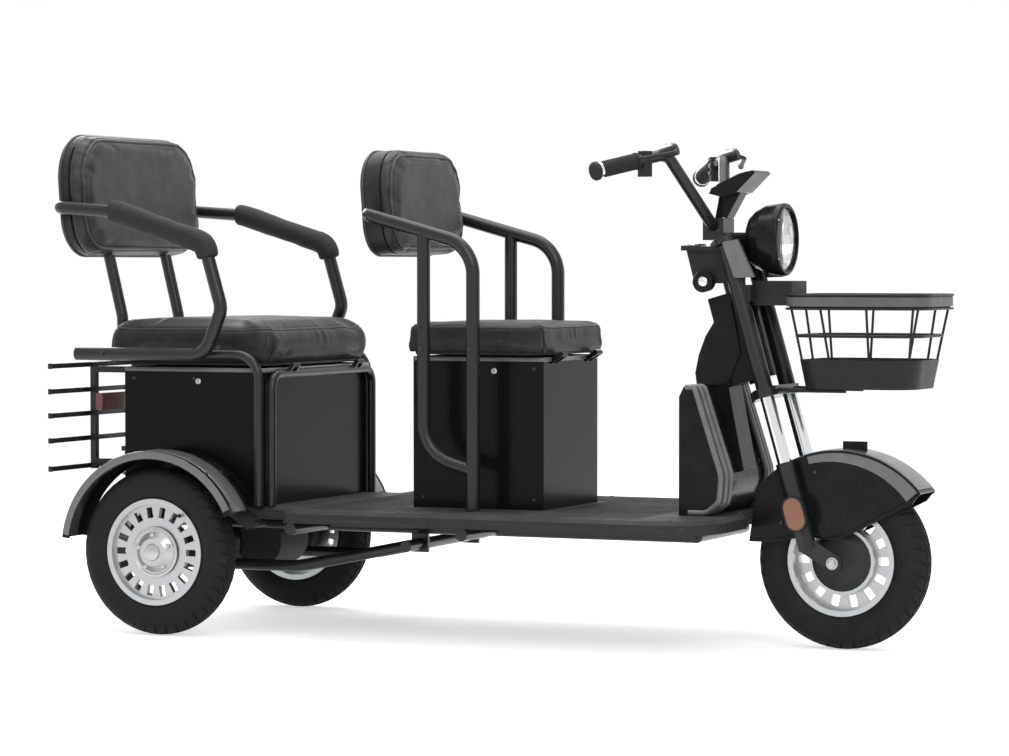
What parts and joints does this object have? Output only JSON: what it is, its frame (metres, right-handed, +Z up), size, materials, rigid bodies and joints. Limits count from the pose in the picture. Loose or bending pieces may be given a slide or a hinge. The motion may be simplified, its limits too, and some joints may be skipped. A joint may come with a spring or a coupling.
{
  "type": "electric tricycle",
  "caption": "Black electric passenger tricycle with a padded rear bench, a middle seat with arms, a flat floor deck, a wire front basket and a round headlamp.",
  "frame": {"origin": "On the ground under the middle of the overall length, on the centre plane.", "axes": "+X points forward to the basket, +Y points to the rider's left, +Z points up."},
  "size_m": [2.235, 0.864, 1.2395],
  "materials": {
    "tyre_rubber": "ribbed road tread, matt sidewall",
    "silver_alloy": "silver painted alloy",
    "black_paint": "satin black powder coat",
    "motor_case": "rough black painted casting",
    "deck_plastic": "fine ribbed dark grey mat",
    "box_paint": "satin black paint on sheet",
    "case_plastic": "plain moulded case",
    "seat_leatherette": "grained black leatherette with stitching",
    "black_plastic": "fine grained",
    "foam_rubber": "soft foam sleeve",
    "gloss_black_plastic": "gloss moulded",
    "red_lens": "ribbed lens",
    "chrome_plate": "polished plate",
    "slider_paint": "satin black",
    "zinc_steel": "zinc plated",
    "amber_lens": "prism moulded reflector",
    "lamp_glass": "clear polycarbonate",
    "basket_plastic": "plastic coated wire",
    "grip_rubber": "ribbed grip"
  },
  "bodies": {
    "frame": {"arm_pads": "foam_rubber", "battery_pack": "case_plastic", "brake_drums": "motor_case", "bulkhead": "gloss_black_plastic", "bulkhead_ribs": "gloss_black_plastic", "chassis_frame": "black_paint", "drive_motor": "motor_case", "floor_deck": "deck_plastic", "head_frame": "black_paint", "middle_back_pad": "seat_leatherette", "middle_back_shell": "black_plastic", "middle_box": "box_paint", "middle_seat_tubes": "black_paint", "neck_cover": "gloss_black_plastic", "rear_axle": "black_paint", "rear_back_pad": "seat_leatherette", "rear_back_shell": "black_plastic", "rear_box": "box_paint", "rear_box_tubes": "black_paint", "rear_fenders": "gloss_black_plastic", "rear_rack": "black_paint", "rear_seat_tubes": "black_paint", "rear_shocks": "black_paint", "tail_lamp": "red_lens", "trailing_arms": "black_paint"},
    "front_wheel": {"front_tyre": "tyre_rubber", "front_rim": "silver_alloy", "front_hub": "silver_alloy"},
    "rear_wheel_left": {"rear_tyre_left": "tyre_rubber", "rear_rim_left": "silver_alloy"},
    "rear_wheel_right": {"rear_tyre_right": "tyre_rubber", "rear_rim_right": "silver_alloy"},
    "rear_lid": {"rear_cushion": "seat_leatherette", "rear_seat_pan": "black_plastic"},
    "middle_lid": {"middle_cushion": "seat_leatherette", "middle_seat_pan": "black_plastic"},
    "steering": {"fork_yoke": "black_paint", "fork_stanchions": "chrome_plate", "fork_sliders": "slider_paint", "front_axle": "zinc_steel", "front_mudguard": "gloss_black_plastic", "fork_reflectors": "amber_lens", "headlamp_shell": "gloss_black_plastic", "headlamp_lens": "lamp_glass", "basket_bracket": "black_plastic", "basket": "basket_plastic", "handlebar": "black_paint", "grips": "grip_rubber", "switch_blocks": "black_plastic", "brake_levers": "black_plastic", "instrument_pod": "gloss_black_plastic", "dash_box": "black_plastic", "horn": "chrome_plate", "fork_covers": "black_plastic"}
  },
  "joints": [
    {"name": "steer", "type": "hinge", "parent": "frame", "child": "steering", "pos_m": [0.5635, 0, 0.996], "axis": [-0.2756, 0, 0.9613], "range_deg": [-35, 35]},
    {"name": "front_wheel_spin", "type": "hinge", "parent": "steering", "child": "front_wheel", "pos_m": [0.8835, 0, 0.21], "axis": [0, 1, 0], "continuous": true},
    {"name": "rear_wheel_left_spin", "type": "hinge", "parent": "frame", "child": "rear_wheel_left", "pos_m": [-0.7545, 0.375, 0.205], "axis": [0, 1, 0], "continuous": true},
    {"name": "rear_wheel_right_spin", "type": "hinge", "parent": "frame", "child": "rear_wheel_right", "pos_m": [-0.7545, -0.375, 0.205], "axis": [0, 1, 0], "continuous": true},
    {"name": "rear_lid_hinge", "type": "hinge", "parent": "frame", "child": "rear_lid", "pos_m": [-0.4825, 0, 0.661], "axis": [0, 1, 0], "range_deg": [0, 75]},
    {"name": "middle_lid_hinge", "type": "hinge", "parent": "frame", "child": "middle_lid", "pos_m": [0.2075, 0, 0.692], "axis": [0, 1, 0], "range_deg": [0, 75]}
  ]
}
